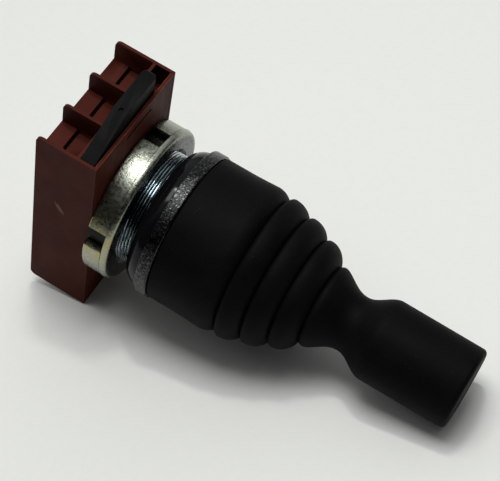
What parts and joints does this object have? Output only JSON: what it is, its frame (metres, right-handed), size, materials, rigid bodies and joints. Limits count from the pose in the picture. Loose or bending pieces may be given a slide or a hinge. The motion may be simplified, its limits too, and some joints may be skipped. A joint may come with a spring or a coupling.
{
  "type": "panel joystick switch",
  "caption": "Panel-mounted joystick switch with a rubber gaiter and grip, threaded bush with ring nut, and a clip-on contact block with open terminal bays.",
  "frame": {"origin": "centre of the panel seat, on the lever's axis, where the gasket meets the panel", "axes": "+Z along the lever towards the grip, +Y towards the contact block's edge with the locking slider, X across the terminal bays"},
  "size_m": [0.0304, 0.05, 0.082],
  "materials": {
    "housing": "moulded thermoset, semi-matt, oxide red-brown",
    "black_plastic": "moulded, satin black",
    "bush_metal": "bright zinc plate",
    "nut_metal": "zinc plated die casting, lightly worn",
    "bezel_metal": "matt grey, speckled",
    "gasket_rubber": "smooth glossy black rubber",
    "gaiter_rubber": "matt black rubber",
    "steel": "turned steel",
    "spring_steel": "drawn spring wire",
    "brass": "plain brass",
    "copper_alloy": "rolled bronze strip",
    "ivory_plastic": "moulded acetal",
    "screw_steel": "bright zinc plate"
  },
  "bodies": {
    "base": {"contact_housing": "housing", "front_cover": "housing", "threaded_bush": "bush_metal", "ring_nut": "nut_metal", "panel_gasket": "gasket_rubber", "bezel_ring": "bezel_metal", "spring_seat": "steel", "gaiter_skirt": "gaiter_rubber", "gaiter_fold_lower": "gaiter_rubber", "centring_spring": "spring_steel", "guide_plate": "black_plastic", "common_plate": "brass", "clamp_washers": "screw_steel", "terminal_screws": "screw_steel", "contact_strip_e": "brass", "contact_strip_n": "brass", "contact_strip_w": "brass", "contact_strip_s": "brass", "contact_spring_e": "spring_steel", "contact_spring_n": "spring_steel", "contact_spring_w": "spring_steel", "contact_spring_s": "spring_steel"},
    "gimbal": {"gimbal_ring": "steel", "gimbal_pins": "steel", "gaiter_fold_upper": "gaiter_rubber"},
    "lever": {"grip": "gaiter_rubber", "grip_insert": "brass", "lever_rod": "steel", "spring_collar": "steel", "pivot_block": "steel", "actuator_plate": "ivory_plastic"},
    "slider": {"lock_slider": "black_plastic"},
    "plunger_e": {"plunger_e": "ivory_plastic", "bridge_e": "copper_alloy"},
    "plunger_n": {"plunger_n": "ivory_plastic", "bridge_n": "copper_alloy"},
    "plunger_w": {"plunger_w": "ivory_plastic", "bridge_w": "copper_alloy"},
    "plunger_s": {"plunger_s": "ivory_plastic", "bridge_s": "copper_alloy"}
  },
  "joints": [
    {"name": "tilt_x", "type": "hinge", "parent": "base", "child": "gimbal", "pos_m": [0, 0, 0.0004], "axis": [1, 0, 0], "range_deg": [-14, 14], "stiffness_Nm_per_rad": 0.5, "deforming": ["gaiter_fold_lower", "centring_spring"]},
    {"name": "tilt_y", "type": "hinge", "parent": "gimbal", "child": "lever", "pos_m": [0, 0, 0.0004], "axis": [0, 1, 0], "range_deg": [-14, 14], "stiffness_Nm_per_rad": 0.5, "deforming": ["gaiter_fold_upper"]},
    {"name": "lock_slide", "type": "slide", "parent": "base", "child": "slider", "axis": [1, 0, 0], "range_m": [0, 0.0018]},
    {"name": "plunger_e_slide", "type": "slide", "parent": "base", "child": "plunger_e", "axis": [0, 0, 1], "range_m": [-0.0013, 0.0013], "deforming": ["contact_spring_e"]},
    {"name": "plunger_n_slide", "type": "slide", "parent": "base", "child": "plunger_n", "axis": [0, 0, 1], "range_m": [-0.0013, 0.0013], "deforming": ["contact_spring_n"]},
    {"name": "plunger_w_slide", "type": "slide", "parent": "base", "child": "plunger_w", "axis": [0, 0, 1], "range_m": [-0.0013, 0.0013], "deforming": ["contact_spring_w"]},
    {"name": "plunger_s_slide", "type": "slide", "parent": "base", "child": "plunger_s", "axis": [0, 0, 1], "range_m": [-0.0013, 0.0013], "deforming": ["contact_spring_s"]}
  ],
  "couplings": [
    {"joint": "plunger_e_slide", "follows": "tilt_y", "m_per_rad": -0.005259},
    {"joint": "plunger_n_slide", "follows": "tilt_x", "m_per_rad": 0.005259},
    {"joint": "plunger_w_slide", "follows": "tilt_y", "m_per_rad": 0.005259},
    {"joint": "plunger_s_slide", "follows": "tilt_x", "m_per_rad": -0.005259}
  ]
}
